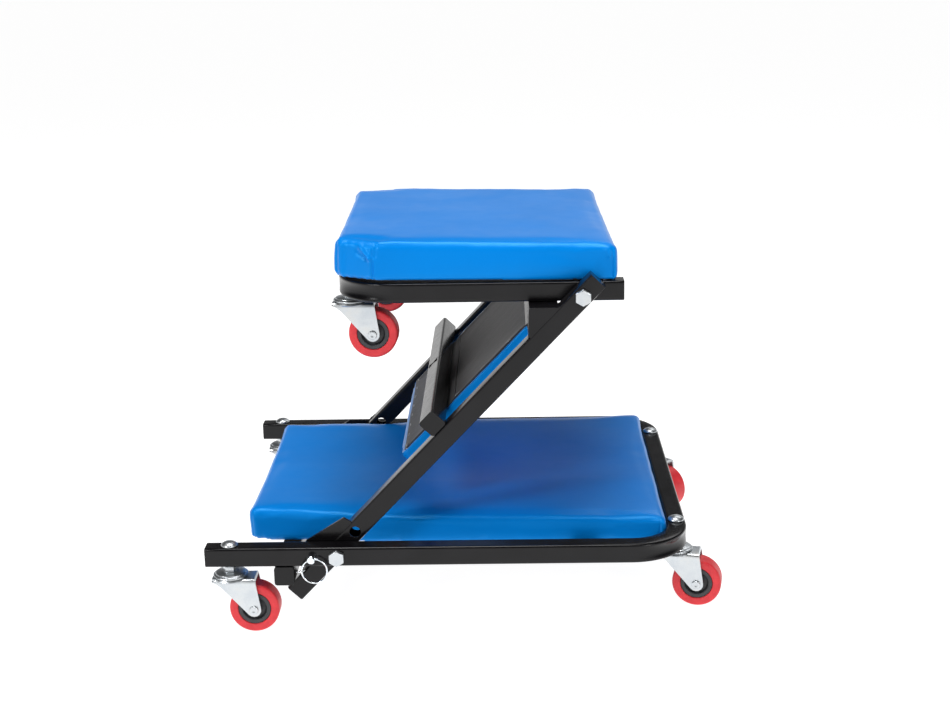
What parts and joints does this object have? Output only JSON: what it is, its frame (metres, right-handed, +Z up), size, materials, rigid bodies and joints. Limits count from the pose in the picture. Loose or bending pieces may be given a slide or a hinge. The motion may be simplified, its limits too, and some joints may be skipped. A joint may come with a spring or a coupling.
{
  "type": "mechanics creeper",
  "caption": "Folding mechanics creeper that works as a low rolling seat or lies flat as a padded rolling board, with sloping links, lock pins and swivel casters.",
  "frame": {"origin": "middle of the bounding box in plan, on the ground", "axes": "+X from the open end of the lower frame towards its bent end, +Z up, +Y away from the viewer of the front view"},
  "size_m": [0.5314, 0.4376, 0.389],
  "materials": {
    "black_paint": "gloss powder coat",
    "zinc": "bright zinc plate",
    "blue_vinyl": "semi-gloss vinyl over foam",
    "black_board": "board with black non-woven backing",
    "red_tyre": "polyurethane",
    "dark_hub": "moulded plastic"
  },
  "bodies": {
    "lower_section": {"lower_frame": "black_paint", "lower_cross_tube": "black_paint", "lower_strap": "black_paint", "lower_board": "black_board", "lower_cushion": "blue_vinyl", "lower_pivot_bolt_near": "zinc", "lower_pivot_nut_near": "zinc", "lower_pivot_bolt_far": "zinc", "lower_pivot_nut_far": "zinc", "swivel_bolt_lower_left_near": "zinc", "swivel_bolt_lower_left_far": "zinc", "swivel_bolt_lower_right_near": "zinc", "swivel_bolt_lower_right_far": "zinc"},
    "middle_section": {"link_near": "black_paint", "link_far": "black_paint", "mid_crossbar": "black_paint", "mid_strap": "black_paint", "mid_board": "black_board", "mid_cushion": "blue_vinyl", "upper_pivot_bolt_near": "zinc", "upper_pivot_nut_near": "zinc", "upper_pivot_bolt_far": "zinc", "upper_pivot_nut_far": "zinc"},
    "top_section": {"top_frame": "black_paint", "top_strap": "black_paint", "top_board": "black_board", "top_cushion": "blue_vinyl", "swivel_bolt_top_near": "zinc", "swivel_bolt_top_far": "zinc"},
    "lock_pin_near": {"lock_pin_near": "zinc"},
    "pull_ring_near": {"pull_ring_near": "zinc"},
    "lock_pin_far": {"lock_pin_far": "zinc"},
    "pull_ring_far": {"pull_ring_far": "zinc"},
    "caster_fork_lower_left_near": {"fork_lower_left_near": "zinc", "axle_lower_left_near": "zinc"},
    "caster_wheel_lower_left_near": {"tyre_lower_left_near": "red_tyre", "hub_lower_left_near": "dark_hub"},
    "caster_fork_lower_left_far": {"fork_lower_left_far": "zinc", "axle_lower_left_far": "zinc"},
    "caster_wheel_lower_left_far": {"tyre_lower_left_far": "red_tyre", "hub_lower_left_far": "dark_hub"},
    "caster_fork_lower_right_near": {"fork_lower_right_near": "zinc", "axle_lower_right_near": "zinc"},
    "caster_wheel_lower_right_near": {"tyre_lower_right_near": "red_tyre", "hub_lower_right_near": "dark_hub"},
    "caster_fork_lower_right_far": {"fork_lower_right_far": "zinc", "axle_lower_right_far": "zinc"},
    "caster_wheel_lower_right_far": {"tyre_lower_right_far": "red_tyre", "hub_lower_right_far": "dark_hub"},
    "caster_fork_top_near": {"fork_top_near": "zinc", "axle_top_near": "zinc"},
    "caster_wheel_top_near": {"tyre_top_near": "red_tyre", "hub_top_near": "dark_hub"},
    "caster_fork_top_far": {"fork_top_far": "zinc", "axle_top_far": "zinc"},
    "caster_wheel_top_far": {"tyre_top_far": "red_tyre", "hub_top_far": "dark_hub"}
  },
  "joints": [
    {"name": "lower_fold", "type": "hinge", "parent": "lower_section", "child": "middle_section", "pos_m": [-0.13205, 0, 0.081], "axis": [0, -1, 0], "range_deg": [0, 133.7]},
    {"name": "upper_fold", "type": "hinge", "parent": "middle_section", "child": "top_section", "pos_m": [0.11736, 0, 0.34199], "axis": [0, 1, 0], "range_deg": [0, 133.7]},
    {"name": "lock_pin_pull_near", "type": "slide", "parent": "lower_section", "child": "lock_pin_near", "axis": [0, -1, 0], "range_m": [0, 0.03]},
    {"name": "pull_ring_swing_near", "type": "hinge", "parent": "lock_pin_near", "child": "pull_ring_near", "pos_m": [-0.15745, -0.215, 0.081], "axis": [-0.9744, 0, -0.225], "range_deg": [0, 90]},
    {"name": "lock_pin_pull_far", "type": "slide", "parent": "lower_section", "child": "lock_pin_far", "axis": [0, 1, 0], "range_m": [0, 0.03]},
    {"name": "pull_ring_swing_far", "type": "hinge", "parent": "lock_pin_far", "child": "pull_ring_far", "pos_m": [-0.15745, 0.215, 0.081], "axis": [0.9744, 0, 0.225], "range_deg": [0, 90]},
    {"name": "swivel_lower_left_near", "type": "hinge", "parent": "lower_section", "child": "caster_fork_lower_left_near", "pos_m": [-0.24175, -0.2, 0.061], "axis": [0, 0, 1], "continuous": true},
    {"name": "wheel_lower_left_near", "type": "hinge", "parent": "caster_fork_lower_left_near", "child": "caster_wheel_lower_left_near", "pos_m": [-0.21825, -0.2, 0.0255], "axis": [0, 1, 0], "continuous": true},
    {"name": "swivel_lower_left_far", "type": "hinge", "parent": "lower_section", "child": "caster_fork_lower_left_far", "pos_m": [-0.24175, 0.2, 0.061], "axis": [0, 0, 1], "continuous": true},
    {"name": "wheel_lower_left_far", "type": "hinge", "parent": "caster_fork_lower_left_far", "child": "caster_wheel_lower_left_far", "pos_m": [-0.21834, 0.20205, 0.0255], "axis": [-0.0872, 0.9962, 0], "continuous": true},
    {"name": "swivel_lower_right_near", "type": "hinge", "parent": "lower_section", "child": "caster_fork_lower_right_near", "pos_m": [0.21625, -0.144, 0.061], "axis": [0, 0, 1], "continuous": true},
    {"name": "wheel_lower_right_near", "type": "hinge", "parent": "caster_fork_lower_right_near", "child": "caster_wheel_lower_right_near", "pos_m": [0.23924, -0.14889, 0.0255], "axis": [0.2079, 0.9781, 0], "continuous": true},
    {"name": "swivel_lower_right_far", "type": "hinge", "parent": "lower_section", "child": "caster_fork_lower_right_far", "pos_m": [0.21625, 0.144, 0.061], "axis": [0, 0, 1], "continuous": true},
    {"name": "wheel_lower_right_far", "type": "hinge", "parent": "caster_fork_lower_right_far", "child": "caster_wheel_lower_right_far", "pos_m": [0.23287, 0.12738, 0.0255], "axis": [0.7071, 0.7071, 0], "continuous": true},
    {"name": "swivel_top_near", "type": "hinge", "parent": "top_section", "child": "caster_fork_top_near", "pos_m": [-0.11875, -0.0976, 0.32199], "axis": [0, 0, 1], "continuous": true},
    {"name": "wheel_top_near", "type": "hinge", "parent": "caster_fork_top_near", "child": "caster_wheel_top_near", "pos_m": [-0.09528, -0.09883, 0.28649], "axis": [0.0523, 0.9986, 0], "continuous": true},
    {"name": "swivel_top_far", "type": "hinge", "parent": "top_section", "child": "caster_fork_top_far", "pos_m": [-0.11875, 0.0976, 0.32199], "axis": [0, 0, 1], "continuous": true},
    {"name": "wheel_top_far", "type": "hinge", "parent": "caster_fork_top_far", "child": "caster_wheel_top_far", "pos_m": [-0.09538, 0.09514, 0.28649], "axis": [0.1045, 0.9945, 0], "continuous": true}
  ]
}
